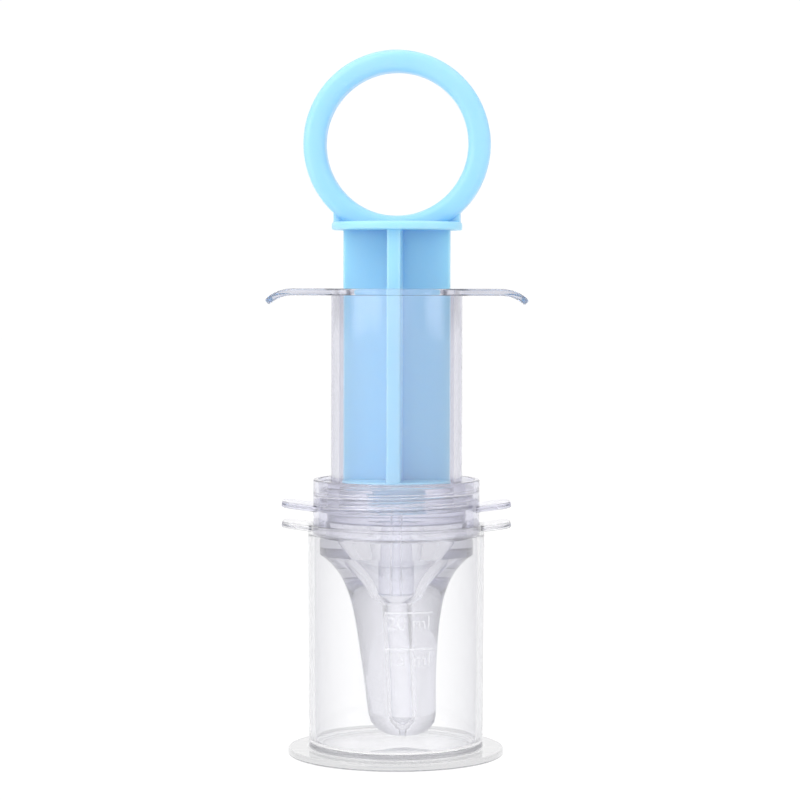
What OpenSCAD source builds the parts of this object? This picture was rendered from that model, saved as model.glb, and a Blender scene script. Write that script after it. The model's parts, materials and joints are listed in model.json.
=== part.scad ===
// Infant oral medicine syringe that stands upright on its own cap.
// A plunger with a finger ring slides in a clear barrel. A screw ring clamps a soft
// feeding teat over the barrel's nozzle. The cup-shaped cap covers the teat.
// Z runs up the syringe, X runs along the finger flange, and z = 0 is the foot's underside.

/* [Barrel] */
// Radius of the barrel's bore
bore_r = 10.9; // [8:0.1:14]
// Thickness of the barrel's wall
barrel_wall = 1.55; // [1:0.05:2.5]
// Height from the barrel's lower end to its mouth
barrel_len = 43.85; // [32:0.05:80]
// Thickness of the barrel's floor
floor_t = 1.85; // [1.2:0.05:3]
// Outer radius of the nozzle
nozzle_r = 3.4; // [2.6:0.1:4.2]
// Radius of the nozzle's bore
nozzle_bore_r = 0.8; // [0.5:0.05:1.5]
// Length of the nozzle below the barrel's lower end
nozzle_len = 13.45; // [9:0.05:18]

/* [Finger flange] */
// Length of the flange from wing tip to wing tip
flange_len = 50.2; // [44:0.1:64]
// Thickness of the flange
flange_t = 1.3; // [0.9:0.05:2.5]
// Width of the rim that the flange adds round the barrel
flange_rim = 1.6; // [0.8:0.1:4]
// Radius of each wing's end, seen from above
wing_end_r = 8; // [5:0.1:10]
// Length of the part of each wing that curves down
wing_curl_len = 5.7; // [3:0.1:8]
// Drop of each wing's tip
wing_drop = 2.5; // [0.5:0.1:3]

/* [Thread] */
// Rise of the thread in one turn
thread_pitch = 2; // [1.6:0.05:2.6]
// Depth of each ridge
thread_depth = 1.3; // [0.8:0.05:1.6]
// Width of a ridge at its crest
thread_crest_w = 0.5; // [0.3:0.05:0.7]
// Width of a ridge at its root
thread_root_w = 0.9; // [0.7:0.05:1.1]
// Height that the barrel's thread climbs
thread_rise = 5.5; // [4:0.1:8]
// Height by which the screw ring's thread climbs less
thread_short = 0.5; // [0.2:0.1:1.5]
// Plain height of the barrel's thread root below and above the thread
root_plain = 0.4; // [0.2:0.05:1.5]
// Step from the barrel's wall out to its thread root
thread_step = 0.75; // [0.4:0.05:1.5]

/* [Screw ring] */
// Thickness of the screw ring's wall
ring_wall = 1; // [0.8:0.05:2]
// Plain height of the screw ring above its thread
ring_plain = 0.45; // [0.3:0.05:3]
// Thickness of the lip under the teat's flange
lip_t = 1.2; // [0.8:0.05:2]
// Reach of the lip in from the ring's bore
lip_reach = 1.4; // [1:0.05:2.5]
// Height of the ears above the ring's lower end
ring_ear_z = 4.4; // [3:0.1:6]

/* [Ears] */
// Distance that each ear stands out beyond the cap's wall
ear_out = 5.05; // [3:0.05:9]
// Width of each ear
ear_w = 10; // [6:0.1:14]
// Thickness of each ear
ear_t = 1.15; // [0.8:0.05:2]
// Upward tilt of each ear in degrees
ear_tilt = 7; // [0:0.5:12]

/* [Cap] */
// Depth of the cup from its ledge to its floor
cup_depth = 39.9; // [36:0.1:60]
// Thickness of the cap's wall at its mouth
mouth_wall = 0.85; // [0.6:0.05:1.5]
// Depth of the mouth that takes the screw ring
mouth_depth = 1.9; // [1.4:0.1:3]
// Width of the ledge that the screw ring rests on
ledge_w = 0.35; // [0.2:0.05:0.8]
// Height of the cup's floor above the foot's underside
cup_floor_z = 2.1; // [1.6:0.05:4]
// Amount by which the wall narrows from mouth to foot
cup_draft = 0.2; // [0:0.05:1]
// Overhang of the round foot beyond the wall
foot_overhang = 3.95; // [2:0.05:8]
// Thickness of the foot
foot_t = 1.3; // [0.8:0.05:3]
// Depth of the hollow under the foot
foot_hollow = 0.5; // [0.2:0.05:0.8]
// Width of the ring that the foot stands on
foot_land = 6.5; // [3:0.1:10]

/* [Teat] */
// Thickness of the teat's flange
teat_flange_t = 1.25; // [0.8:0.05:2]
// Radius of the teat where its round tip starts
teat_tip_r = 6.3; // [5.2:0.1:8.5]
// Widening of the teat in millimetres for each millimetre of height
teat_taper = 0.08; // [0:0.005:0.12]
// Height over which the flare grows by a factor of e
teat_flare_len = 4.5; // [3:0.1:6]
// Height from the teat's tip to the start of its flange
teat_len = 39.6; // [34:0.1:50]
// Radius of the round edge at the tip
teat_tip_edge = 4; // [2:0.1:5]
// Radius of the channel in the teat
channel_r = 2; // [1.2:0.05:2.5]
// Radius of the feeding hole in the tip
feed_hole_r = 0.5; // [0.3:0.05:1]
// Thickness of the skin at the tip
tip_skin = 2.2; // [1:0.1:4]
// Amount by which the teat bulges out under the screw ring's lip
teat_bulge = 1.3; // [0.5:0.05:1.8]
// Height of the bulge under the lip
teat_bulge_h = 3.7; // [2:0.1:5]
// Radius of the bulge's upper edge
teat_bulge_edge = 0.5; // [0.2:0.05:1]

/* [Piston] */
// Height of the piston
piston_h = 4.5; // [3.6:0.1:8]
// Height of each of the piston's two sealing ribs
rib_h = 1.2; // [0.8:0.1:1.6]
// Depth of the groove between the sealing ribs
rib_depth = 0.7; // [0.3:0.05:1.5]

/* [Plunger] */
// Length of the cross-shaped shaft
shaft_len = 47.2; // [36:0.1:84]
// Thickness of each blade of the shaft
blade_t = 2.5; // [1.6:0.1:4]
// Gap between the blades and the barrel's bore
blade_gap = 0.8; // [0.4:0.05:2]
// Thickness of the disc at the shaft's lower end
disc_t = 1.1; // [0.8:0.05:2]
// Radius of the boss that holds the piston
boss_r = 3.9; // [2.5:0.1:5]
// Length of the boss
boss_len = 3.7; // [2.8:0.1:3.7]
// Amount by which the bead on the boss stands out
bead_out = 0.4; // [0.2:0.05:0.6]
// Thickness of the collar under the finger ring
collar_t = 1.5; // [1:0.1:3]
// Turn of the plunger about the syringe's axis in degrees
plunger_turn = -3.5; // [-180:0.5:180]

/* [Finger ring] */
// Radius of the finger hole
finger_r = 13.5; // [10:0.1:18]
// Width of the ring's section in its own plane
finger_ring_w = 4.15; // [3:0.05:6]
// Depth of the ring's section, front to back
finger_ring_d = 6.5; // [5:0.1:10]
// Radius of the round edges of the ring's section
finger_ring_edge = 1.5; // [0.5:0.1:1.5]
// Thickness of the web between the finger hole and the collar
finger_web = 1.2; // [0.8:0.1:3]
// Step from the collar's edge in to the block that carries the ring
neck_step = 0.3; // [0.1:0.05:2]

/* [Clearances] */
// Radial gap between the piston and the bore, and between the boss and its socket
running_gap = 0.05; // [0.02:0.01:0.1]
// Gap between faces of two pieces that rest on each other
seat_gap = 0.05; // [0.02:0.01:0.15]
// Radial gap between the cap's mouth and the screw ring
cap_gap = 0.1; // [0.05:0.01:0.2]
// Gap between a thread's crest and the wall that faces it
crest_gap = 0.3; // [0.15:0.05:0.5]
// Gap round the parts of the teat that sit in the screw ring
teat_gap = 0.1; // [0.05:0.05:0.3]
// Gap between the piston and the barrel's floor when the plunger is pushed in
dead_gap = 0.2; // [0.05:0.05:0.5]

/* [Hidden] */
$fn = 96;
eps = 0.01;

// Radii, from the bore outwards
barrel_r = bore_r + barrel_wall;
thread_root_r = barrel_r + thread_step;
thread_crest_r = thread_root_r + thread_depth;
ring_bore_r = thread_crest_r + crest_gap;
ring_crest_r = ring_bore_r - thread_depth;
ring_r = ring_bore_r + ring_wall;
lip_r = ring_bore_r - lip_reach;
mouth_r = ring_r + cap_gap;
cap_r = mouth_r + mouth_wall;
cup_r = mouth_r - ledge_w;
foot_r = cap_r - cup_draft + foot_overhang;
ear_reach = cap_r + ear_out;

// Heights, from the foot upwards
ledge_z = cup_floor_z + cup_depth;
rim_z = ledge_z + mouth_depth;
ring_z = ledge_z + seat_gap;
lip_top_z = ring_z + lip_t;
teat_flange_z = lip_top_z + seat_gap;
teat_top_z = teat_flange_z + teat_flange_t;
teat_tip_z = teat_flange_z - teat_len;
barrel_z = teat_top_z + seat_gap;
floor_z = barrel_z + floor_t;
barrel_top_z = barrel_z + barrel_len;
nozzle_z = barrel_z - nozzle_len;
piston_z = floor_z + dead_gap;
piston_top_z = piston_z + piston_h;
disc_z = piston_top_z + seat_gap;
shaft_z = disc_z + disc_t;
collar_z = shaft_z + shaft_len;
collar_top_z = collar_z + collar_t;
finger_z = collar_top_z + finger_web + finger_r;
finger_out_r = finger_r + finger_ring_w;

// Thread: both ridges follow one helix, half a pitch apart
ridge_embed = 0.3;
ridge_steps = 30;
ridge_fade = 40;
ridge_start = 0.08;
barrel_turns = thread_rise / thread_pitch;
ring_turns = (thread_rise - thread_short) / thread_pitch;
barrel_ridge_z = barrel_z + root_plain + thread_root_w / 2;
ring_ridge_z = barrel_ridge_z + thread_pitch / 2;
root_top_z = barrel_ridge_z + thread_rise + thread_root_w / 2 + root_plain;
ring_top_z = ring_ridge_z + thread_rise - thread_short + thread_root_w / 2 + ring_plain;
ring_h = ring_top_z - ring_z;

// Teat outline
teat_neck_r = lip_r - teat_gap;
teat_bulge_r = teat_neck_r + teat_bulge;
teat_flange_r = ring_crest_r - teat_gap;
teat_neck_z = ring_z - teat_gap;
teat_edge_z = teat_tip_z + teat_tip_edge;
flare_top_z = teat_neck_z - teat_bulge_h;
flare_span = teat_bulge_r - teat_tip_r - teat_taper * (flare_top_z - teat_edge_z);
flare_steps = 18;
flare_spacing = 0.7;
nozzle_gap = 0.12;
funnel_z = nozzle_z - 0.1;
funnel_r = nozzle_r + nozzle_gap;
funnel_top_r = bore_r;
funnel_power = 1.4;
channel_end_z = teat_tip_z + tip_skin + channel_r;
funnel_steps = 10;

// Shaft, boss and collar of the plunger
blade_r = bore_r - blade_gap;
disc_r = bore_r - 0.6;
collar_r = barrel_r - 0.1;
collar_bevel = 0.45;
neck_d = finger_ring_d - 2 * finger_ring_edge;
bead_z = disc_z - boss_len / 2;
bead_h = 1.2;
boss_edge = 0.8;
socket_gap = 0.2;

// Small edges, overlaps and cut overshoot
cut_over = 1;
ear_embed = 0.9;
piston_edge = 0.2;
rib_slope = 0.3;
mouth_edge = 0.25;
foot_edge = 0.4;
ear_corner = 3;

// Wing curl as an arc: its radius at mid-thickness and its angle
curl_r = (wing_curl_len * wing_curl_len + wing_drop * wing_drop) / (2 * wing_drop);
curl_angle = asin(min(1, wing_curl_len / curl_r));
flange_hub_r = barrel_r + flange_rim;
curl_x = flange_len / 2 - wing_curl_len;
wing_end_x = flange_len / 2 - wing_end_r;

// Radius of the teat's outside at height z
function teat_r(z) = min(teat_bulge_r,
    teat_tip_r + teat_taper * (z - teat_edge_z) + flare_span * exp((z - flare_top_z) / teat_flare_len));

// Radius of the teat's inside at height z
function funnel_at(z) = funnel_r + (funnel_top_r - funnel_r)
    * pow((z - funnel_z) / (teat_top_z - funnel_z), funnel_power);

// Points of an arc about [x, y], from angle a to angle b
function arc(x, y, r, a, b, n = 8) =
    [for (i = [0:n]) let (t = a + (b - a) * i / n) [x + r * cos(t), y + r * sin(t)]];

// One cross-section of a ridge: four corners at an angle along the helix
function ridge_corners(base_r, crest_r, angle, z) =
    [for (c = [[base_r, -thread_root_w], [crest_r, -thread_crest_w],
               [crest_r, thread_crest_w], [base_r, thread_root_w]])
        [c[0] * cos(angle), c[0] * sin(angle), z + c[1] / 2]];

// Share of its full depth that a ridge has at an angle from its start
function ridge_grow(angle, sweep) = max(ridge_start, min(1, min(angle, sweep - angle) / ridge_fade));

// Helical ridge that grows out of a wall and fades away at both ends
module ridge(wall_r, crest_r, z, turns) {
    side = sign(crest_r - wall_r);
    count = round(turns * ridge_steps);
    sweep = turns * 360;
    points = [for (i = [0:count]) let (a = sweep * i / count, g = ridge_grow(a, sweep))
        each ridge_corners(wall_r - side * ridge_embed, wall_r + (crest_r - wall_r) * g,
                           a, z + thread_pitch * a / 360)];
    walls = [for (i = [0:count - 1], k = [0:3])
        let (p = 4 * i + k, q = 4 * i + (k + 1) % 4)
        each [[p, q, q + 4], [p, q + 4, p + 4]]];
    last = 4 * count;
    ends = [[0, 2, 1], [0, 3, 2], [last, last + 1, last + 2], [last, last + 2, last + 3]];
    faces = [for (f = concat(walls, ends)) side < 0 ? [f[2], f[1], f[0]] : f];
    polyhedron(points, faces);
}

// Rectangle with round corners, centred on the origin
module round_rect(w, h, r) {
    square([w - 2 * r, h], center = true);
    square([w, h - 2 * r], center = true);
    for (x = [-1, 1], y = [-1, 1])
        translate([x * (w / 2 - r), y * (h / 2 - r)]) circle(r);
}

// Pair of ears that stand out along X from a wall, with tips tilted up
module ears(wall_r, z) {
    root = wall_r - ear_embed;
    for (turn = [0, 180])
        rotate([0, 0, turn]) translate([wall_r, 0, z]) rotate([0, -ear_tilt, 0]) translate([-wall_r, 0, 0])
            linear_extrude(ear_t) intersection() {
                translate([ear_reach / 2, 0]) round_rect(ear_reach, ear_w, ear_corner);
                translate([root, -ear_w / 2]) square([ear_reach, ear_w]);
            }
}

// Cup with a round foot, a mouth for the screw ring and two ears
module cap() {
    color([0.9, 0.91, 0.95, 0.4]) {
        difference() {
            union() {
                rotate_extrude() polygon(concat(
                    [[0, foot_hollow], [foot_r - foot_land, foot_hollow], [foot_r - foot_land, 0]],
                    arc(foot_r - foot_edge, foot_edge, foot_edge, -90, 0, 4),
                    arc(foot_r - foot_edge, foot_t - foot_edge, foot_edge, 0, 90, 4),
                    [[cap_r - cup_draft, foot_t]],
                    arc(cap_r - mouth_edge, rim_z - mouth_edge, mouth_edge, 0, 90, 4),
                    [[mouth_r, rim_z], [mouth_r, ledge_z], [cup_r, ledge_z],
                     [cup_r - cup_draft, cup_floor_z], [0, cup_floor_z]]));
                ears(cap_r, rim_z - ear_t);
            }
            translate([0, 0, ledge_z]) cylinder(r = mouth_r, h = 2 * mouth_depth);
        }
    }
}

// Ring with an inside thread, a lip that holds the teat and two ears
module screw_ring() {
    color([0.9, 0.9, 0.95, 0.5]) {
        difference() {
            union() {
                translate([0, 0, ring_z]) cylinder(r = ring_r, h = ring_h);
                ears(ring_r, ring_z + ring_ear_z);
            }
            translate([0, 0, ring_z - cut_over]) cylinder(r = lip_r, h = lip_t + 2 * cut_over);
            translate([0, 0, lip_top_z]) cylinder(r = ring_bore_r, h = ring_h);
        }
        ridge(ring_bore_r, ring_crest_r, ring_ridge_z, ring_turns);
    }
}

// Soft teat: a flange, a groove for the ring's lip, a flare and a thick hollow tip
module teat() {
    color([0.93, 0.93, 0.93, 0.5]) rotate_extrude() polygon(concat(
        [[feed_hole_r, teat_tip_z]],
        arc(teat_tip_r - teat_tip_edge, teat_edge_z, teat_tip_edge, -90, 0, 8),
        [for (i = [1:flare_steps])
            let (z = teat_edge_z + (flare_top_z - teat_edge_z) * pow(i / flare_steps, flare_spacing))
            [teat_r(z), z]],
        arc(teat_bulge_r - teat_bulge_edge, teat_neck_z - teat_bulge_edge, teat_bulge_edge, 0, 90, 4),
        [[teat_neck_r, teat_neck_z], [teat_neck_r, teat_flange_z],
         [teat_flange_r, teat_flange_z], [teat_flange_r, teat_top_z]],
        [for (i = [0:funnel_steps])
            let (z = teat_top_z - (teat_top_z - funnel_z) * i / funnel_steps)
            [funnel_at(z), z]],
        [[channel_r, funnel_z - (funnel_r - channel_r)]],
        arc(0, channel_end_z, channel_r, 0, -acos(feed_hole_r / channel_r), 5)));
}

// Outline of the finger flange, seen from above: a hub with two tapering wings
module flange_outline() {
    side = acos((flange_hub_r - wing_end_r) / wing_end_x);
    polygon(concat(
        arc(wing_end_x, 0, wing_end_r, -side, side, 12),
        arc(0, 0, flange_hub_r, side, 180 - side, 4),
        arc(-wing_end_x, 0, wing_end_r, 180 - side, 180 + side, 12),
        arc(0, 0, flange_hub_r, 180 + side, 360 - side, 4)));
}

// Side view of the finger flange: a flat bar whose ends curl down
module flange_side() {
    translate([-curl_x, -flange_t]) square([2 * curl_x, flange_t]);
    for (s = [0, 1]) mirror([s, 0]) translate([curl_x, -flange_t / 2 - curl_r])
        intersection() {
            difference() {
                circle(curl_r + flange_t / 2);
                circle(curl_r - flange_t / 2);
            }
            polygon([[0, 0], [0, 3 * curl_r], [3 * curl_r * tan(curl_angle / 2), 3 * curl_r],
                     3 * curl_r * [sin(curl_angle), cos(curl_angle)]]);
        }
}

// Clear barrel: tube, finger flange, floor, nozzle and outside thread
module barrel() {
    color([0.85, 0.88, 0.98, 0.4]) {
        difference() {
            union() {
                translate([0, 0, barrel_z]) cylinder(r = barrel_r, h = barrel_len);
                translate([0, 0, barrel_z]) cylinder(r = thread_root_r, h = root_top_z - barrel_z);
                translate([0, 0, nozzle_z]) cylinder(r = nozzle_r, h = nozzle_len + cut_over);
                intersection() {
                    translate([0, 0, barrel_top_z - 2 * wing_drop - flange_t])
                        linear_extrude(2 * wing_drop + flange_t + cut_over) flange_outline();
                    translate([0, flange_len, barrel_top_z]) rotate([90, 0, 0])
                        linear_extrude(2 * flange_len) flange_side();
                }
            }
            translate([0, 0, floor_z]) cylinder(r = bore_r, h = barrel_len);
            translate([0, 0, nozzle_z - cut_over])
                cylinder(r = nozzle_bore_r, h = nozzle_len + floor_t + 2 * cut_over);
        }
        ridge(thread_root_r, thread_crest_r, barrel_ridge_z, barrel_turns);
    }
}

// Profile of the boss on its axis, grown by a gap to give the socket it snaps into
module boss_profile(gap, bottom_z) {
    polygon(concat(
        [[0, disc_z + eps], [0, bottom_z]],
        arc(boss_r + gap - boss_edge, bottom_z + boss_edge, boss_edge, -90, 0, 4),
        [[boss_r + gap, bead_z - bead_h / 2], [boss_r + bead_out + gap, bead_z],
         [boss_r + gap, bead_z + bead_h / 2], [boss_r + gap, disc_z + eps]]));
}

// Soft piston with two sealing ribs and a socket for the plunger's boss
module piston() {
    piston_r = bore_r - running_gap;
    groove_r = piston_r - rib_depth;
    color([0.95, 0.93, 0.94, 0.6]) rotate_extrude() difference() {
        polygon([[0, piston_z], [piston_r - piston_edge, piston_z], [piston_r, piston_z + piston_edge],
            [piston_r, piston_z + rib_h], [groove_r, piston_z + rib_h + rib_slope],
            [groove_r, piston_top_z - rib_h - rib_slope], [piston_r, piston_top_z - rib_h],
            [piston_r, piston_top_z - piston_edge], [piston_r - piston_edge, piston_top_z],
            [0, piston_top_z]]);
        boss_profile(running_gap, disc_z - boss_len - socket_gap);
    }
}

// Block that carries the finger ring on the collar
module neck() {
    neck_r = collar_r - neck_step;
    meet_z = finger_z - sqrt(finger_out_r * finger_out_r - neck_r * neck_r);
    difference() {
        intersection() {
            translate([0, 0, collar_top_z - eps]) cylinder(r = neck_r, h = meet_z - collar_top_z + eps);
            translate([-collar_r, -neck_d / 2, collar_z]) cube([2 * collar_r, neck_d, meet_z]);
        }
        translate([0, 0, finger_z]) rotate([90, 0, 0])
            cylinder(r = finger_r, h = 2 * finger_ring_d, center = true);
    }
}

// Plunger: finger ring, collar, cross-shaped shaft, end disc and piston boss
module plunger() {
    color([0.62, 0.85, 1]) rotate([0, 0, plunger_turn]) {
        intersection() {
            translate([0, 0, finger_z]) rotate([90, 0, 0]) rotate_extrude()
                translate([finger_r + finger_ring_w / 2, 0])
                    round_rect(finger_ring_w, finger_ring_d, finger_ring_edge);
            translate([0, 0, collar_top_z - eps + 2 * finger_out_r]) cube(4 * finger_out_r, center = true);
        }
        neck();
        rotate_extrude() polygon([[0, collar_z], [collar_r, collar_z], [collar_r, collar_top_z - collar_bevel],
            [collar_r - collar_bevel, collar_top_z], [0, collar_top_z]]);
        for (turn = [0, 90]) rotate([0, 0, turn])
            translate([-blade_r, -blade_t / 2, shaft_z - eps])
                cube([2 * blade_r, blade_t, shaft_len + 2 * eps]);
        translate([0, 0, disc_z]) cylinder(r = disc_r, h = disc_t);
        rotate_extrude() boss_profile(0, disc_z - boss_len);
    }
}

cap();
screw_ring();
teat();
barrel();
piston();
plunger();
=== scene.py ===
import json
from math import atan2, asin, cos, exp, hypot, pi, radians, sin, sqrt

import bmesh
import bpy
from mathutils import Matrix, Vector

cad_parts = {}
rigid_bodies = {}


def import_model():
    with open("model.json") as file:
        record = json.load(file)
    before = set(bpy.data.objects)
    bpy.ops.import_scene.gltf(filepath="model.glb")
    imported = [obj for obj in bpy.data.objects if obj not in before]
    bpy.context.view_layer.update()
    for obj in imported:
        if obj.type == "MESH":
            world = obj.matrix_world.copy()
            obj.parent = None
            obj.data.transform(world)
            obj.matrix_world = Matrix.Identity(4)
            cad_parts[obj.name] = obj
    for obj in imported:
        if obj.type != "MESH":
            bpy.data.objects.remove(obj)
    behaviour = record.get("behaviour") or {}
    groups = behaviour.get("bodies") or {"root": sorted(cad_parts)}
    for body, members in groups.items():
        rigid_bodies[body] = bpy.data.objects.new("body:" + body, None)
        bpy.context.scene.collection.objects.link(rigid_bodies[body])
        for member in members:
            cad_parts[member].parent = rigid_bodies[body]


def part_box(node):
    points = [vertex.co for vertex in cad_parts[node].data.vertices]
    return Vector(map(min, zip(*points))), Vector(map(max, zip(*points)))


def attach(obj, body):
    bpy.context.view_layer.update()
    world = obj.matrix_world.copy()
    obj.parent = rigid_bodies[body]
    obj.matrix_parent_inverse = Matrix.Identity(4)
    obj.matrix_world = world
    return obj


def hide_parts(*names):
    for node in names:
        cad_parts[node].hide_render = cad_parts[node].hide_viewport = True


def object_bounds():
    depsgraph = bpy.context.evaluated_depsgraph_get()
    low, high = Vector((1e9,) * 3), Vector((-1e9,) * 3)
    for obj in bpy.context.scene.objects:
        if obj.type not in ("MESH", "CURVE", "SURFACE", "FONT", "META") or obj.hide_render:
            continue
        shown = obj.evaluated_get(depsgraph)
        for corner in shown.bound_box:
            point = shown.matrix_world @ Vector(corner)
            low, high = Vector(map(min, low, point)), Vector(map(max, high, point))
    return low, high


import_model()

# Oral syringe with a feeding teat, standing on its cap. Shapes are worked in millimetres
# and brought to metres when a piece is finished.
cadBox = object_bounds()
mm = 0.001
spinSteps = 160
threadSteps = 72
cornerSteps = 4
mergeDistance = 0.002
slimEdge = 0.001
unionTries = 3


def lowHigh(node):
    low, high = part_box(node)
    return low / mm, high / mm


capLow, capHigh = lowHigh("cap")
ringLow, ringHigh = lowHigh("screw_ring")
teatLow, teatHigh = lowHigh("teat")
barrelLow, barrelHigh = lowHigh("barrel")
pistonLow, pistonHigh = lowHigh("piston")
plungerLow, plungerHigh = lowHigh("plunger")


# A profile in the XZ plane: each point is radius, height and, if it is round, its rounding
def profile(points, closed=True):
    bm = bmesh.new()
    verts = [bm.verts.new((point[0], 0, point[1])) for point in points]
    following = verts[1:] + verts[:1] if closed else verts[1:]
    for start, end in zip(verts, following):
        bm.edges.new((start, end))
    for vert, point in zip(verts, points):
        if len(point) > 2:
            bmesh.ops.bevel(bm, geom=[vert], offset=point[2], offset_type="OFFSET",
                            segments=cornerSteps, profile=0.5, affect="VERTICES", material=-1)
    return bm


def cleaned(bm):
    bmesh.ops.remove_doubles(bm, verts=bm.verts[:], dist=mergeDistance)
    bmesh.ops.recalc_face_normals(bm, faces=bm.faces[:])
    return bm


def spun(points, closed=True):
    bm = profile(points, closed)
    bmesh.ops.spin(bm, geom=bm.verts[:] + bm.edges[:], cent=(0, 0, 0), axis=(0, 0, 1),
                   angle=2 * pi, steps=spinSteps, use_merge=True, use_duplicate=False)
    return cleaned(bm)


def turned(bm, angle, axis="Z", centre=(0, 0, 0)):
    bmesh.ops.rotate(bm, verts=bm.verts[:], cent=centre, matrix=Matrix.Rotation(angle, 3, axis))
    return bm


def moved(bm, offset):
    bmesh.ops.translate(bm, verts=bm.verts[:], vec=offset)
    return bm


# Bar with round upright edges and softened rims, from one corner to the other
def bar(low, high, upright=0, rim=0):
    low, high = Vector(low), Vector(high)
    bm = bmesh.new()
    bmesh.ops.create_cube(bm, size=1)
    bmesh.ops.scale(bm, vec=high - low, verts=bm.verts[:])
    bmesh.ops.translate(bm, vec=(low + high) / 2, verts=bm.verts[:])
    if upright:
        tall = [edge for edge in bm.edges if abs(edge.verts[0].co.z - edge.verts[1].co.z) > 1e-4]
        bmesh.ops.bevel(bm, geom=tall, offset=upright, offset_type="OFFSET", segments=8,
                        profile=0.5, affect="EDGES", material=-1)
    if rim:
        around = [edge for edge in bm.edges if abs(edge.verts[0].co.z - edge.verts[1].co.z) < 1e-4]
        bmesh.ops.bevel(bm, geom=around, offset=rim, offset_type="OFFSET", segments=3,
                        profile=0.5, affect="EDGES", material=-1)
    return bm


# Union, difference or intersection of solids; a result that lost its faces is worked out again
def joined(*solids, operation="UNION"):
    holders = []
    for bm in solids:
        mesh = bpy.data.meshes.new("solid")
        bm.to_mesh(mesh)
        bm.free()
        holders.append(bpy.data.objects.new("solid", mesh))
        bpy.context.collection.objects.link(holders[-1])
    for other in holders[1:]:
        union = holders[0].modifiers.new("union", "BOOLEAN")
        union.operation = operation
        union.solver = "EXACT"
        union.object = other
    largest = max(len(holder.data.polygons) for holder in holders)
    least = largest / 2 if operation == "UNION" else 0
    result = bmesh.new()
    for attempt in range(unionTries):
        bpy.context.view_layer.update()
        result.clear()
        result.from_object(holders[0], bpy.context.evaluated_depsgraph_get())
        if len(result.faces) > least:
            break
    else:
        raise RuntimeError("the union lost its faces")
    for holder in holders:
        mesh = holder.data
        bpy.data.objects.remove(holder)
        bpy.data.meshes.remove(mesh)
    bmesh.ops.remove_doubles(result, verts=result.verts[:], dist=mergeDistance)
    bmesh.ops.dissolve_degenerate(result, edges=result.edges[:], dist=slimEdge)
    return result


def finished(name, bm, material, body, slotName, *nodes, sharp=38):
    bmesh.ops.scale(bm, vec=(mm, mm, mm), verts=bm.verts[:])
    mesh = bpy.data.meshes.new(name)
    bm.to_mesh(mesh)
    bm.free()
    mesh.shade_smooth()
    mesh.set_sharp_from_angle(angle=radians(sharp))
    piece = bpy.data.objects.new(name, mesh)
    bpy.context.collection.objects.link(piece)
    piece.data.materials.append(material)
    flatten = piece.modifiers.new("evenShading", "WEIGHTED_NORMAL")
    flatten.keep_sharp = True
    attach(piece, body)
    if nodes:
        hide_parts(*nodes)
    print("made", name, len(mesh.polygons), "faces")
    return piece


# One output of a material's nodes, which can be used in sums
class Signal:
    def __init__(self, tree, socket=None):
        self.tree = tree
        self.socket = socket

    def node(self, kind, settings, inputs, output=0):
        made = self.tree.nodes.new(kind)
        for name, value in settings.items():
            setattr(made, name, value)
        for name, value in inputs.items():
            if isinstance(value, Signal):
                self.tree.links.new(value.socket, made.inputs[name])
            else:
                made.inputs[name].default_value = value
        return Signal(self.tree, made.outputs[output]) if made.outputs else made

    def sum(self, operation, first, second):
        return self.node("ShaderNodeMath", {"operation": operation}, {0: first, 1: second})

    def __add__(self, other):
        return self.sum("ADD", self, other)

    def __radd__(self, other):
        return self.sum("ADD", other, self)

    def __sub__(self, other):
        return self.sum("SUBTRACT", self, other)

    def __rsub__(self, other):
        return self.sum("SUBTRACT", other, self)

    def __mul__(self, other):
        return self.sum("MULTIPLY", self, other)

    def __rmul__(self, other):
        return self.sum("MULTIPLY", other, self)


def newMaterial(name):
    material = bpy.data.materials.new(name)
    material.use_nodes = True
    material.node_tree.nodes.clear()
    return material, Signal(material.node_tree)


# Noise on the piece's own coordinates; stretch makes flow lines along one axis
def grain(start, scale, detail=3, roughness=0.5, stretch=(1, 1, 1)):
    place = start.node("ShaderNodeTexCoord", {}, {}, "Object")
    place = start.node("ShaderNodeMapping", {}, {"Vector": place, "Scale": stretch})
    return start.node("ShaderNodeTexNoise", {"noise_dimensions": "3D"},
                      {"Vector": place, "Scale": scale, "Detail": detail, "Roughness": roughness})


# Painted shade on the cap's foot: 1 on the low rim outside a radius, 0 elsewhere, standing in for the
# shadow under the foot
def paintedFootShadeShare(start, look):
    place = start.node("ShaderNodeTexCoord", {}, {}, "Object")
    flat = start.node("ShaderNodeVectorMath", {"operation": "MULTIPLY"}, {0: place, 1: (1, 1, 0)})
    outward = start.node("ShaderNodeVectorMath", {"operation": "LENGTH"}, {0: flat}, "Value")
    upward = start.node("ShaderNodeVectorMath", {"operation": "DOT_PRODUCT"},
                        {0: place, 1: (0, 0, 1)}, "Value")
    outer = start.node("ShaderNodeMapRange", {}, {"Value": outward, "From Min": look["rimR"] * mm,
                                                  "From Max": (look["rimR"] + 0.5) * mm})
    lower = start.node("ShaderNodeMapRange", {}, {"Value": upward, "From Min": (look["rimZ"] + 0.5) * mm,
                                                  "From Max": look["rimZ"] * mm})
    return outer * lower


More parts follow.
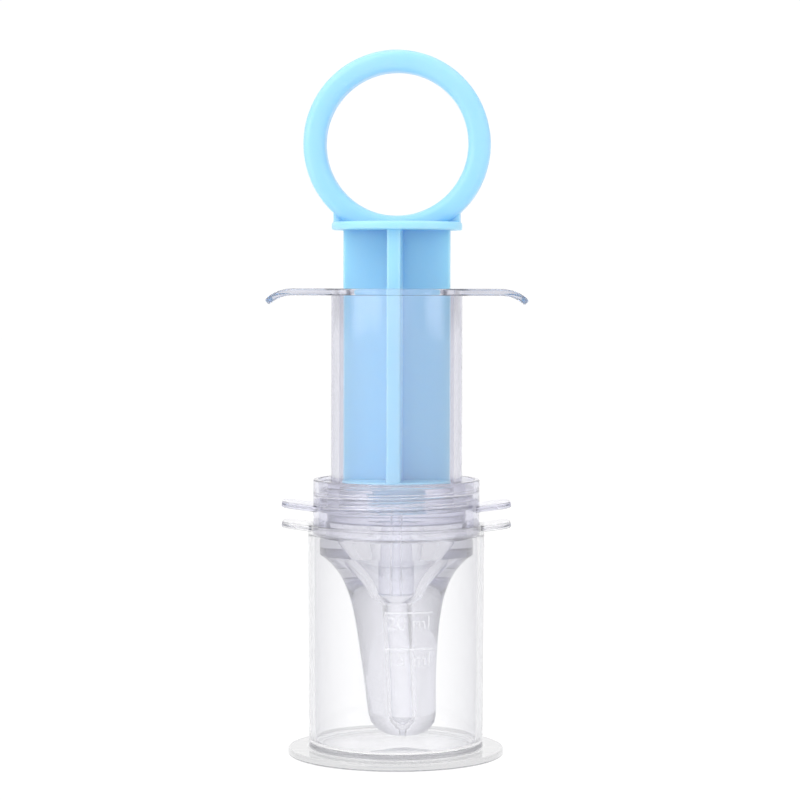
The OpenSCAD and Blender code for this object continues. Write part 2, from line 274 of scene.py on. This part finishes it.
def clearMaterial(name, look):
    material, start = newMaterial(name)
    flow = grain(start, look["flowScale"], 2, 0.4, (1, 1, 0.12))
    haze = grain(start, look["hazeScale"], 4, 0.6)
    bump = start.node("ShaderNodeBump", {}, {"Strength": look["bump"], "Distance": look["bumpDepth"],
                                             "Height": flow + haze * look["hazeShare"]})
    # Painted edge shade: where the surface turns away from view, its base colour greys towards the edge
    # colour, in place of the darker refraction at the walls' edges
    paintedEdgeShade = start.node("ShaderNodeLayerWeight", {}, {"Blend": 0.5}, "Facing")
    paintedEdgeShade = start.sum("POWER", paintedEdgeShade, look["edgeShadePower"]) * (look["edgeShadeShare"] + flow * look["edgeShadeVary"])
    tintAndPaintedShade = start.node("ShaderNodeMix", {"data_type": "RGBA"},
                      {0: paintedEdgeShade, 6: (*look["face"], 1), 7: (*look["edge"], 1)}, 2)
    # Painted shade: the cap's foot rim is greyed to the rim colour in place of the floor's shadow under it
    if "rim" in look:
        tintAndPaintedShade = start.node("ShaderNodeMix", {"data_type": "RGBA"},
                          {0: paintedFootShadeShare(start, look), 6: tintAndPaintedShade, 7: (*look["rim"], 1)}, 2)
    surface = start.node("ShaderNodeBsdfPrincipled", {}, {
        "Base Color": tintAndPaintedShade, "Roughness": look["roughLow"] + haze * look["roughSpan"],
        "IOR": look["ior"], "Transmission Weight": look["clarity"], "Normal": bump})
    inside = start.node("ShaderNodeVolumeAbsorption", {}, {"Color": (*look["inside"], 1),
                                                          "Density": look["density"]})
    start.node("ShaderNodeOutputMaterial", {}, {"Surface": surface, "Volume": inside})
    return material


# face is each clear part's own tint; edge is a painted shade colour for the grazing parts of the surface
clearLooks = {
    # The cap's rim colour, with its radius and height, is painted shade on the foot
    "clearCap": {"face": (0.98, 0.98, 0.985), "edge": (0.56, 0.56, 0.60), "edgeShadePower": 1.5,
                 "rim": (0.63, 0.63, 0.64), "rimR": 16.3, "rimZ": 1.5,
                 "edgeShadeShare": 0.9, "edgeShadeVary": 0.2, "clarity": 0.97,
                 "inside": (0.50, 0.50, 0.54), "density": 30, "ior": 1.49,
                 "roughLow": 0.01, "roughSpan": 0.04, "flowScale": 60, "hazeScale": 900,
                 "hazeShare": 0.03, "bump": 0.15, "bumpDepth": 0.0002},
    "clearRing": {"face": (0.955, 0.955, 0.985), "edge": (0.56, 0.56, 0.68), "edgeShadePower": 1.4,
                  "edgeShadeShare": 0.9, "edgeShadeVary": 0.2, "clarity": 0.96,
                  "inside": (0.46, 0.46, 0.60), "density": 45, "ior": 1.49,
                  "roughLow": 0.02, "roughSpan": 0.05, "flowScale": 90, "hazeScale": 900,
                  "hazeShare": 0.03, "bump": 0.15, "bumpDepth": 0.0002},
    "clearBarrel": {"face": (0.965, 0.965, 0.99), "edge": (0.38, 0.38, 0.50), "edgeShadePower": 1.3,
                    "edgeShadeShare": 0.9, "edgeShadeVary": 0.2, "clarity": 0.96,
                    "inside": (0.48, 0.48, 0.60), "density": 30, "ior": 1.49,
                    "roughLow": 0.01, "roughSpan": 0.05, "flowScale": 60, "hazeScale": 900,
                    "hazeShare": 0.03, "bump": 0.06, "bumpDepth": 0.0002},
    "softTeat": {"face": (0.965, 0.965, 0.98), "edge": (0.48, 0.48, 0.56), "edgeShadePower": 1.4,
                 "edgeShadeShare": 0.9, "edgeShadeVary": 0.2, "clarity": 0.97,
                 "inside": (0.55, 0.55, 0.62), "density": 45, "ior": 1.41,
                 "roughLow": 0.015, "roughSpan": 0.06, "flowScale": 140, "hazeScale": 1600,
                 "hazeShare": 0.06, "bump": 0.15, "bumpDepth": 0.0002},
    "softPiston": {"face": (0.98, 0.98, 0.99), "edge": (0.70, 0.70, 0.78), "edgeShadePower": 1.4,
                   "edgeShadeShare": 0.9, "edgeShadeVary": 0.2, "clarity": 0.98,
                   "inside": (0.6, 0.6, 0.66), "density": 20, "ior": 1.41,
                   "roughLow": 0.02, "roughSpan": 0.06, "flowScale": 140, "hazeScale": 1600,
                   "hazeShare": 0.06, "bump": 0.15, "bumpDepth": 0.0002},
    "raisedMark": {"face": (0.93, 0.93, 0.95), "edge": (0.55, 0.55, 0.60), "edgeShadePower": 1.2,
                   "edgeShadeShare": 0.9, "edgeShadeVary": 0.2, "clarity": 0.75,
                   "inside": (0.5, 0.5, 0.54), "density": 30, "ior": 1.49,
                   "roughLow": 0.12, "roughSpan": 0.10, "flowScale": 140, "hazeScale": 1600,
                   "hazeShare": 0.1, "bump": 0.2, "bumpDepth": 0.0002},
}
clear = {name: clearMaterial(name, look) for name, look in clearLooks.items()}

blueLook = {"colour": (0.37, 0.64, 0.84), "deep": (0.28, 0.59, 0.83), "subsurface": 0.75,
            "radius": (0.6, 0.9, 1.0), "depth": 0.005, "roughLow": 0.26, "roughSpan": 0.14,
            "cloudScale": 110, "grainScale": 2600, "bump": 0.12, "bumpDepth": 0.0001, "ior": 1.49}


def blueMaterial(look):
    material, start = newMaterial("bluePlastic")
    cloud = grain(start, look["cloudScale"], 3, 0.5, (1, 1, 0.4))
    fine = grain(start, look["grainScale"], 5, 0.6)
    colour = start.node("ShaderNodeMix", {"data_type": "RGBA"},
                        {0: cloud, 6: (*look["deep"], 1), 7: (*look["colour"], 1)}, 2)
    bump = start.node("ShaderNodeBump", {}, {"Strength": look["bump"], "Distance": look["bumpDepth"],
                                             "Height": fine + cloud * 2})
    surface = start.node("ShaderNodeBsdfPrincipled", {"subsurface_method": "RANDOM_WALK"}, {
        "Base Color": colour, "Roughness": look["roughLow"] + fine * look["roughSpan"],
        "IOR": look["ior"], "Subsurface Weight": look["subsurface"],
        "Subsurface Radius": look["radius"], "Subsurface Scale": look["depth"], "Normal": bump})
    start.node("ShaderNodeOutputMaterial", {}, {"Surface": surface})
    return material


bluePlastic = blueMaterial(blueLook)
print("materials ready")

# Thread: one helix for the barrel's ridge and, half a pitch higher, the screw ring's
thread = {"pitch": 2.0, "depth": 1.3, "crestWidth": 0.5, "rootWidth": 0.9, "round": 0.12,
          "rise": 5.5, "short": 0.5, "embed": 0.3, "fade": radians(40), "least": 0.08}


def ridge(wallR, crestR, z, rise):
    side = 1 if crestR > wallR else -1
    baseR = wallR - side * thread["embed"]
    halfRoot, halfCrest = thread["rootWidth"] / 2, thread["crestWidth"] / 2
    bm = profile([(baseR, z - halfRoot), (crestR, z - halfCrest, thread["round"]),
                  (crestR, z + halfCrest, thread["round"]), (baseR, z + halfRoot)])
    turns = rise / thread["pitch"]
    sweep = 2 * pi * turns
    count = round(turns * threadSteps)
    bmesh.ops.spin(bm, geom=bm.verts[:] + bm.edges[:], cent=(0, 0, 0), axis=(0, 0, 1), angle=sweep,
                   dvec=(0, 0, rise / count), steps=count, use_merge=False, use_duplicate=False)
    for vert in bm.verts:
        angle = atan2(vert.co.y, vert.co.x) / (2 * pi) % 1
        along = 2 * pi * (angle + round((vert.co.z - z) / thread["pitch"] - angle))
        radius = hypot(vert.co.x, vert.co.y)
        grow = max(thread["least"], min(1, min(along, sweep - along) / thread["fade"]))
        if side * (radius - wallR) > 0:
            wanted = wallR + (radius - wallR) * grow
            vert.co.x *= wanted / radius
            vert.co.y *= wanted / radius
    ends = [edge for edge in bm.edges if len(edge.link_faces) == 1]
    bmesh.ops.holes_fill(bm, edges=ends, sides=0)
    bmesh.ops.recalc_face_normals(bm, faces=bm.faces[:])
    return bm


# Ears stand out along X from the cap and from the screw ring, with tips tilted up
ear = {"width": 10.0, "thick": 1.15, "tilt": radians(7), "corner": 3.0, "rim": 0.3, "embed": 0.8,
       "reach": 21.8}


def ears(wallR, z):
    made = []
    for turn in (0, pi):
        bm = bar((wallR - ear["embed"] - ear["corner"], -ear["width"] / 2, z),
                 (ear["reach"], ear["width"] / 2, z + ear["thick"]), ear["corner"], ear["rim"])
        turned(bm, -ear["tilt"], "Y", (wallR, 0, z))
        cut = Vector((wallR - ear["embed"], 0, 0))
        geom = bm.verts[:] + bm.edges[:] + bm.faces[:]
        cutting = bmesh.ops.bisect_plane(bm, geom=geom, plane_co=cut, plane_no=(1, 0, 0),
                                         clear_inner=True, clear_outer=False)
        edges = [item for item in cutting["geom_cut"] if isinstance(item, bmesh.types.BMEdge)]
        bmesh.ops.holes_fill(bm, edges=edges, sides=0)
        made.append(turned(bm, turn))
    return made


# Cap: a cup with a round foot and a mouth for the screw ring
capSizes = {"wallR": 16.75, "draft": 0.2, "footThick": 1.3, "hollow": 0.5, "land": 6.5,
            "floorZ": 2.1, "ledgeZ": 42.0, "rimZ": 43.9, "mouthR": 15.9, "cupR": 15.55,
            "footEdge": 0.4, "rimEdge": 0.25, "inner": 1.2, "outer": 0.5,
            "loops": (5, 15, 28, 38, 41.2)}


def makeCap(size):
    footR = capHigh.y
    bottom = capLow.z
    outerSlope = size["draft"] / (size["rimZ"] - size["footThick"])
    innerSlope = size["draft"] / (size["ledgeZ"] - size["floorZ"])
    outside = [(size["wallR"] - outerSlope * (size["rimZ"] - z), z) for z in size["loops"]]
    inside = [(size["cupR"] - innerSlope * (size["ledgeZ"] - z), z) for z in size["loops"]]
    body = spun([(0, bottom + size["hollow"]), (footR - size["land"], bottom + size["hollow"], 0.2),
                 (footR - size["land"], bottom, 0.2), (footR, bottom, size["footEdge"]),
                 (footR, size["footThick"], size["footEdge"]),
                 (size["wallR"] - size["draft"], size["footThick"], size["outer"]), *outside,
                 (size["wallR"], size["rimZ"], size["rimEdge"]),
                 (size["mouthR"], size["rimZ"], 0.15), (size["mouthR"], size["ledgeZ"]),
                 (size["cupR"], size["ledgeZ"], 0.15), *inside[::-1],
                 (size["cupR"] - size["draft"], size["floorZ"], size["inner"]),
                 (0, size["floorZ"])], closed=False)
    whole = joined(body, *ears(size["wallR"], size["rimZ"] - ear["thick"]))
    return finished("capShell", whole, clear["clearCap"], "cap", "cap_clear", "cap")


makeCap(capSizes)

# Raised filling marks on the front of the cup: a short line and its number for each
markSizes = {"rows": {"20 ml": 28.8, "15 ml": 22.1}, "height": 2.6, "proud": 0.16, "sink": 0.03,
             "side": 2.4, "gap": 0.5, "lineLong": 9.0, "lineThick": 0.35, "emToHeight": 1.4,
             "lineCuts": 12, "longEdge": 5}


def makeMarks(size):
    flat = bmesh.new()
    for words, z in size["rows"].items():
        letters = bpy.data.curves.new("letters", "FONT")
        letters.body = words
        letters.size = size["height"] * size["emToHeight"]
        letters.align_x = "CENTER"
        letters.extrude = (size["proud"] + size["sink"]) / 2
        holder = bpy.data.objects.new("letters", letters)
        bpy.context.collection.objects.link(holder)
        bpy.context.view_layer.update()
        mesh = bpy.data.meshes.new_from_object(holder.evaluated_get(
            bpy.context.evaluated_depsgraph_get()))
        row = bmesh.new()
        row.from_mesh(mesh)
        bpy.data.objects.remove(holder)
        bpy.data.meshes.remove(mesh)
        turned(row, pi / 2, "X")
        moved(row, (size["side"], 0, z - size["gap"] - size["height"]))
        half = size["lineThick"] / 2
        line = bar((size["side"] - size["lineLong"] / 2, -letters.extrude, z - half),
                   (size["side"] + size["lineLong"] / 2, letters.extrude, z + half))
        along = [edge for edge in line.edges if edge.calc_length() > size["longEdge"]]
        bmesh.ops.subdivide_edges(line, edges=along, cuts=size["lineCuts"])
        for part in (row, line):
            mesh = bpy.data.meshes.new("part")
            part.to_mesh(mesh)
            flat.from_mesh(mesh)
            part.free()
            bpy.data.meshes.remove(mesh)
    wallR = capSizes["wallR"] - capSizes["draft"] / 2
    for vert in flat.verts:
        out = wallR + (size["proud"] - size["sink"]) / 2 - vert.co.y
        angle = vert.co.x / wallR
        vert.co.x, vert.co.y = out * sin(angle), -out * cos(angle)
    bmesh.ops.remove_doubles(flat, verts=flat.verts[:], dist=mergeDistance)
    bmesh.ops.recalc_face_normals(flat, faces=flat.faces[:])
    return finished("capMarks", flat, clear["raisedMark"], "cap", "cap_clear")


makeMarks(markSizes)

# Screw ring: inside thread, lip under the teat's flange and two ears
ringSizes = {"boreR": 14.8, "crestR": 13.5, "lipR": 13.4, "lipThick": 1.2, "earRise": 4.4,
             "edge": 0.25, "threadZ": 46.45, "loopBelow": 0.4, "loopAbove": 2.0}


def makeRing(size):
    wallR = ringHigh.y
    low = ringLow.z
    lipTop = low + size["lipThick"]
    body = spun([(size["lipR"], low, 0.3), (wallR, low, size["edge"]),
                 (wallR, low + size["earRise"] - size["loopBelow"]),
                 (wallR, low + size["earRise"] + size["loopAbove"]),
                 (wallR, ringHigh.z, size["edge"]),
                 (size["boreR"], ringHigh.z, 0.2), (size["boreR"], lipTop, 0.1),
                 (size["lipR"], lipTop, 0.2)])
    coil = ridge(size["boreR"], size["crestR"], size["threadZ"], thread["rise"] - thread["short"])
    whole = joined(body, coil, *ears(wallR, low + size["earRise"]))
    return finished("ringShell", whole, clear["clearRing"], "ring", "ring_clear", "screw_ring")


makeRing(ringSizes)

# Barrel: tube, floor, nozzle, outside thread and finger flange
barrelSizes = {"boreR": 10.9, "wallR": 12.45, "rootR": 13.2, "floorThick": 1.85, "lowZ": 44.6,
               "rootTopZ": 51.8, "threadZ": 45.45, "nozzleR": 3.4, "nozzleBoreR": 0.8, "mouthEdge": 0.3,
               "floorRound": 0.7, "flangeCover": 0.02, "boreFlare": 0.2}
flangeSizes = {"thick": 1.3, "hubR": 14.05, "wingR": 8.0, "curl": 5.7, "drop": 2.5, "edge": 0.35,
               "cuts": 14, "steps": 96}


def makeFlange(size):
    reach = barrelHigh.x
    top = barrelHigh.z
    middle = top - size["thick"] / 2
    bm = bmesh.new()
    for x, radius in ((0, size["hubR"]), (reach - size["wingR"], size["wingR"]),
                      (size["wingR"] - reach, size["wingR"])):
        bmesh.ops.create_cone(bm, cap_ends=True, segments=size["steps"], radius1=radius,
                              radius2=radius, depth=size["thick"],
                              matrix=Matrix.Translation((x, 0, middle)))
    bmesh.ops.delete(bm, geom=bm.faces[:], context="FACES_ONLY")
    hull = bmesh.ops.convex_hull(bm, input=bm.verts[:], use_existing_faces=False)
    bmesh.ops.delete(bm, geom=hull["geom_interior"] + hull["geom_unused"], context="VERTS")
    bmesh.ops.dissolve_limit(bm, angle_limit=radians(1), verts=bm.verts[:], edges=bm.edges[:])
    loose = [edge for edge in bm.edges if not edge.link_faces]
    bmesh.ops.delete(bm, geom=loose, context="EDGES")
    rims = [edge for edge in bm.edges if edge.calc_face_angle(0) > radians(60)]
    bmesh.ops.bevel(bm, geom=rims, offset=size["edge"], offset_type="OFFSET", segments=3,
                    profile=0.5, affect="EDGES", material=-1)
    bendR = (size["curl"] ** 2 + size["drop"] ** 2) / (2 * size["drop"])
    angle = asin(size["curl"] / bendR)
    hinge = reach - size["curl"]
    squeeze = size["curl"] / (size["curl"] + size["thick"] / 2 * sin(angle))
    for side in (-1, 1):
        for step in range(size["cuts"]):
            geom = bm.verts[:] + bm.edges[:] + bm.faces[:]
            x = side * (hinge + size["curl"] * step / size["cuts"])
            bmesh.ops.bisect_plane(bm, geom=geom, plane_co=(x, 0, 0), plane_no=(1, 0, 0))
    for vert in bm.verts:
        beyond = (abs(vert.co.x) - hinge) * squeeze
        if beyond > 0:
            bend = asin(min(1, beyond / bendR))
            rise = vert.co.z - middle
            out = hinge + (bendR + rise) * sin(bend)
            vert.co.x = out if vert.co.x > 0 else -out
            vert.co.z = middle - bendR + (bendR + rise) * cos(bend)
    bmesh.ops.recalc_face_normals(bm, faces=bm.faces[:])
    return bm


def makeBarrel(size):
    top, low = barrelHigh.z, size["lowZ"]
    edge = size["mouthEdge"]
    outside = spun([(0, barrelLow.z), (size["nozzleR"], barrelLow.z, 0.4), (size["nozzleR"], low, 0.4),
                    (size["rootR"], low, 0.3), (size["rootR"], size["rootTopZ"], 0.3),
                    (size["wallR"], size["rootTopZ"], 0.3), (size["wallR"], top - size["flangeCover"]),
                    (0, top - size["flangeCover"])], closed=False)
    coil = ridge(size["rootR"], size["rootR"] + thread["depth"], size["threadZ"], thread["rise"])
    solid = joined(outside, makeFlange(flangeSizes), coil)
    floorZ = low + size["floorThick"]
    bore = spun([(0, floorZ), (size["boreR"], floorZ, size["floorRound"]), (size["boreR"], top - edge),
                 (size["boreR"] + edge * 0.3, top - edge * 0.3), (size["boreR"] + edge, top),
                 (size["boreR"] + edge, top + 1), (0, top + 1)], closed=False)
    flaredR = size["nozzleBoreR"] + size["boreFlare"]
    channel = spun([(0, barrelLow.z - 1), (flaredR, barrelLow.z - 1), (flaredR, barrelLow.z),
                    (size["nozzleBoreR"], barrelLow.z + size["boreFlare"]),
                    (size["nozzleBoreR"], floorZ + 1), (0, floorZ + 1)], closed=False)
    whole = joined(solid, bore, channel, operation="DIFFERENCE")
    return finished("barrelShell", whole, clear["clearBarrel"], "barrel", "barrel_clear", "barrel")


makeBarrel(barrelSizes)

# Teat: flange, groove for the lip, flare and a thick tip that leans a little
teatSizes = {"flangeThick": 1.25, "neckR": 13.3, "neckZ": 41.95, "flangeR": 13.4, "bulgeH": 3.7,
             "bulgeEdge": 0.6, "tipR": 6.3, "tipEdge": 4.0, "taper": 0.08, "flareLen": 4.5,
             "holeR": 0.5, "channelR": 2.0, "skin": 2.2, "funnelZ": 31.05, "funnelR": 3.52,
             "funnelTopR": 10.9, "power": 1.4, "lean": 1.5, "leanPower": 2.2,
             "flareSteps": 26, "flareFirst": 3, "flareSpacing": 0.7, "funnelSteps": 20,
             "funnelDrop": 1.5, "tipInset": 0.06, "domeShare": 0.87}


def makeTeat(size):
    bulgeR, tipZ, top = teatHigh.x, teatLow.z, teatHigh.z
    flangeZ = top - size["flangeThick"]
    edgeZ = tipZ + size["tipEdge"]
    flareTop = size["neckZ"] - size["bulgeH"]
    span = bulgeR - size["tipR"] - size["taper"] * (flareTop - edgeZ)

    def outsideAt(z):
        return min(bulgeR, size["tipR"] + size["taper"] * (z - edgeZ)
                   + span * exp((z - flareTop) / size["flareLen"]))

    def insideAt(z):
        share = (z - size["funnelZ"]) / (top - size["funnelZ"])
        return size["funnelR"] + (size["funnelTopR"] - size["funnelR"]) * share ** size["power"]

    flare = [edgeZ + (flareTop - edgeZ) * (step / size["flareSteps"]) ** size["flareSpacing"]
             for step in range(size["flareFirst"], size["flareSteps"] + 1)]
    funnel = [top - (top - size["funnelZ"]) * step / size["funnelSteps"]
              for step in range(size["funnelSteps"] + 1)]
    channelEnd = tipZ + size["skin"] + size["channelR"]
    points = [(size["holeR"], tipZ, 0.15), (size["tipR"] - size["tipInset"], tipZ, size["tipEdge"])]
    points += [(outsideAt(z), z) for z in flare]
    points += [(bulgeR, size["neckZ"], size["bulgeEdge"]), (size["neckR"], size["neckZ"], 0.1),
               (size["neckR"], flangeZ, 0.04), (size["flangeR"], flangeZ, 0.04),
               (size["flangeR"], top, 0.2)]
    points += [(insideAt(z), z) for z in funnel]
    points += [(size["channelR"], size["funnelZ"] - size["funnelDrop"], 0.3),
               (size["channelR"], channelEnd),
               (size["channelR"] * size["domeShare"], channelEnd - size["channelR"] * 0.5),
               (size["channelR"] * 0.5, channelEnd - size["channelR"] * size["domeShare"]),
               (size["holeR"], channelEnd - size["channelR"])]
    bm = spun(points)
    for vert in bm.verts:
        below = max(0, (flangeZ - vert.co.z) / (flangeZ - tipZ))
        vert.co.x += size["lean"] * below ** size["leanPower"]
    return finished("teatBody", bm, clear["softTeat"], "teat", "teat_silicone", "teat")


makeTeat(teatSizes)

# Piston: soft seal with two ribs and a socket for the boss
pistonSizes = {"ribH": 1.2, "ribDepth": 0.7, "slope": 0.3, "edge": 0.2, "socketR": 3.86,
               "beadOut": 0.4, "beadZ": 49.35, "beadH": 1.2, "socketZ": 47.3, "socketEdge": 0.8}


def makePiston(size):
    outR, low, top = pistonHigh.x, pistonLow.z, pistonHigh.z
    groove = outR - size["ribDepth"]
    lowRib, topRib = low + size["ribH"], top - size["ribH"]
    half = size["beadH"] / 2
    bm = spun([(0, low), (outR, low, size["edge"]), (outR, lowRib, 0.12),
               (groove, lowRib + size["slope"], 0.2), (groove, topRib - size["slope"], 0.2),
               (outR, topRib, 0.12), (outR, top, size["edge"]), (size["socketR"], top, 0.1),
               (size["socketR"], size["beadZ"] + half), (size["socketR"] + size["beadOut"], size["beadZ"]),
               (size["socketR"], size["beadZ"] - half),
               (size["socketR"], size["socketZ"], size["socketEdge"]),
               (0, size["socketZ"])], closed=False)
    return finished("pistonSeal", bm, clear["softPiston"], "piston", "piston_silicone", "piston")


makePiston(pistonSizes)

# Plunger: finger ring, collar, crossed blades, disc and boss
plungerSizes = {"ringWidth": 4.15, "web": 1.2, "step": 0.3, "ringDepth": 6.5, "ringEdge": 1.5,
                "ringSink": 0.7, "blockSink": 0.2, "holeGap": 0.02, "bladeSink": 0.3,
                "collarZ": 99.5, "collarTop": 101.0, "collarBevel": 0.45, "bladeR": 10.1, "bladeThick": 2.5,
                "discZ": 51.2, "discThick": 1.1, "discR": 10.3, "bossR": 3.9, "beadOut": 0.4,
                "beadZ": 49.35, "beadH": 1.2, "bossEdge": 0.8, "blockEdge": 0.25, "turn": radians(-3.5)}


def makePlunger(size):
    collarR = plungerHigh.y
    outR = (plungerHigh.z - size["collarTop"] - size["web"] + size["ringWidth"]) / 2
    inR = outR - size["ringWidth"]
    centreZ = plungerHigh.z - outR
    halfDeep = size["ringDepth"] / 2
    ring = spun([(inR, -halfDeep, size["ringEdge"]), (outR, -halfDeep, size["ringEdge"]),
                 (outR, halfDeep, size["ringEdge"]), (inR, halfDeep, size["ringEdge"])])
    moved(turned(ring, pi / 2, "X"), (0, 0, centreZ))
    geom = ring.verts[:] + ring.edges[:] + ring.faces[:]
    cutting = bmesh.ops.bisect_plane(ring, geom=geom, plane_co=(0, 0, size["collarTop"] - size["ringSink"]),
                                     plane_no=(0, 0, 1), clear_inner=True, clear_outer=False)
    edges = [item for item in cutting["geom_cut"] if isinstance(item, bmesh.types.BMEdge)]
    bmesh.ops.holes_fill(ring, edges=edges, sides=0)
    collar = spun([(0, size["collarZ"]), (collarR, size["collarZ"], 0.25),
                   (collarR, size["collarTop"], size["collarBevel"]), (0, size["collarTop"])],
                  closed=False)
    blockR = collarR - size["step"]
    blockLow = size["collarTop"] - size["blockSink"]
    meetZ = centreZ - sqrt(outR ** 2 - blockR ** 2)
    block = joined(
        spun([(0, blockLow), (blockR, blockLow), (blockR, meetZ, size["blockEdge"]), (0, meetZ)],
             closed=False),
        bar((-outR, size["ringEdge"] - halfDeep, size["collarZ"]),
            (outR, halfDeep - size["ringEdge"], centreZ)), operation="INTERSECT")
    holeR = inR + size["holeGap"]
    hole = turned(spun([(0, -outR), (holeR, -outR), (holeR, outR), (0, outR)], closed=False), pi / 2, "X")
    block = joined(block, moved(hole, (0, 0, centreZ)), operation="DIFFERENCE")
    half = size["bladeThick"] / 2
    shaftLow = size["discZ"] + size["discThick"] - size["bladeSink"]
    shaftHigh = size["collarZ"] + size["bladeSink"]
    across = bar((-size["bladeR"], -half, shaftLow), (size["bladeR"], half, shaftHigh), 0.3)
    along = bar((-half, -size["bladeR"], shaftLow), (half, size["bladeR"], shaftHigh), 0.3)
    beadHalf = size["beadH"] / 2
    foot = spun([(0, plungerLow.z), (size["bossR"], plungerLow.z, size["bossEdge"]),
                 (size["bossR"], size["beadZ"] - beadHalf),
                 (size["bossR"] + size["beadOut"], size["beadZ"]),
                 (size["bossR"], size["beadZ"] + beadHalf), (size["bossR"], size["discZ"], 0.1),
                 (size["discR"], size["discZ"], 0.2),
                 (size["discR"], size["discZ"] + size["discThick"], 0.3),
                 (0, size["discZ"] + size["discThick"])], closed=False)
    whole = joined(collar, ring, block, across, along, foot)
    turned(whole, size["turn"])
    return finished("plungerBody", whole, bluePlastic, "plunger", "plunger_blue", "plunger")


makePlunger(plungerSizes)

# Studio: pale floor and soft lights, with a lightly banded surround so that clear edges read
studio = {"floor": (0.95, 0.95, 0.95), "floorGlow": 0.85, "seenWhite": 1.03, "middle": 0.60,
          "band": 0.08, "bandCount": 8, "topGlow": 1.1, "topSlope": 2.5, "floorHalf": 4}
softBoxes = {
    "leftBox": {"towards": (-0.8387, -0.5446), "edge": 0.8387, "fade": 10, "glow": 2.0},
    "rightBox": {"towards": (0.948, -0.317), "edge": 0.9135, "fade": 14, "glow": 2.0},
    "backBox": {"towards": (0, 1), "edge": 0.70, "fade": 4, "glow": 0.45},
    "frontBox": {"towards": (0, -1), "edge": 0.72, "fade": 4, "glow": 0.75},
}


def makeFloor():
    bm = bmesh.new()
    bmesh.ops.create_grid(bm, x_segments=2, y_segments=2, size=studio["floorHalf"])
    mesh = bpy.data.meshes.new("studioFloor")
    bm.to_mesh(mesh)
    bm.free()
    floor = bpy.data.objects.new("studioFloor", mesh)
    bpy.context.collection.objects.link(floor)
    material, start = newMaterial("paleFloor")
    surface = start.node("ShaderNodeBsdfDiffuse", {}, {"Color": (*studio["floor"], 1)})
    glow = start.node("ShaderNodeEmission", {}, {"Color": (1, 1, 1, 1), "Strength": studio["seenWhite"]})
    both = start.node("ShaderNodeMixShader", {}, {0: studio["floorGlow"], 1: surface, 2: glow})
    start.node("ShaderNodeOutputMaterial", {}, {"Surface": both})
    mesh.materials.append(material)


def makeSurround():
    world = bpy.data.worlds.new("studioSurround")
    world.use_nodes = True
    world.node_tree.nodes.clear()
    bpy.context.scene.world = world
    start = Signal(world.node_tree)
    place = start.node("ShaderNodeTexCoord", {}, {}, "Generated")
    x, y, z = (start.node("ShaderNodeSeparateXYZ", {}, {"Vector": place}, axis) for axis in "XYZ")
    turn = start.sum("ARCTAN2", y, x)
    wave = start.sum("COSINE", turn * studio["bandCount"], 0)
    level = studio["middle"] + wave * studio["band"]
    for box in softBoxes.values():
        facing = x * box["towards"][0] + y * box["towards"][1] - box["edge"]
        share = start.sum("MAXIMUM", start.sum("MINIMUM", facing * box["fade"], 1), 0)
        level = level + share * box["glow"]
    above = start.sum("MAXIMUM", start.sum("MINIMUM", z * studio["topSlope"] - 1.0, 1), 0)
    level = level + above * (studio["topGlow"] - level)
    seen = start.node("ShaderNodeLightPath", {}, {}, "Is Camera Ray")
    strength = level + seen * (studio["seenWhite"] - level)
    back = start.node("ShaderNodeBackground", {}, {"Color": (1, 1, 1, 1), "Strength": strength})
    start.node("ShaderNodeOutputWorld", {}, {"Surface": back})


lamps = {
    "keyLamp": {"at": (-0.55, -0.45, 0.75), "size": 0.6, "power": 2.2},
    "fillLamp": {"at": (0.6, -0.5, 0.45), "size": 0.8, "power": 0.5},
    "topLamp": {"at": (0.0, 0.15, 0.9), "size": 0.6, "power": 0.7},
}


def makeLamps():
    centre = (cadBox[0] + cadBox[1]) / 2
    for name, lamp in lamps.items():
        light = bpy.data.lights.new(name, "AREA")
        light.shape = "DISK"
        light.size = lamp["size"]
        light.energy = lamp["power"]
        holder = bpy.data.objects.new(name, light)
        holder.location = lamp["at"]
        holder.visible_transmission = False
        holder.rotation_euler = (centre - holder.location).to_track_quat("-Z", "Y").to_euler()
        bpy.context.collection.objects.link(holder)


cameraSizes = {"side": 0.00064, "distance": 0.5031, "height": 0.08877, "down": radians(2.439),
               "roll": radians(0.145), "lens": 119.47, "sensor": 36}


def makeCamera(size):
    data = bpy.data.cameras.new("viewCamera")
    data.lens = size["lens"]
    data.sensor_width = size["sensor"]
    holder = bpy.data.objects.new("viewCamera", data)
    holder.matrix_world = (Matrix.Translation((size["side"], -size["distance"], size["height"]))
                           @ Matrix.Rotation(pi / 2 - size["down"], 4, "X")
                           @ Matrix.Rotation(size["roll"], 4, "Z"))
    bpy.context.collection.objects.link(holder)
    bpy.context.scene.camera = holder


makeFloor()
makeSurround()
makeLamps()
makeCamera(cameraSizes)
print("studio ready")

for piece in bpy.data.objects:
    if piece.type == "MESH" and piece.data.materials and piece.data.materials[0] in clear.values():
        piece.visible_shadow = False

scene = bpy.context.scene
scene.view_settings.view_transform = "Standard"
clearBounces, glossBounces = 32, 12
scene.cycles.max_bounces = clearBounces
scene.cycles.transmission_bounces = clearBounces
scene.cycles.transparent_max_bounces = clearBounces
scene.cycles.glossy_bounces = glossBounces
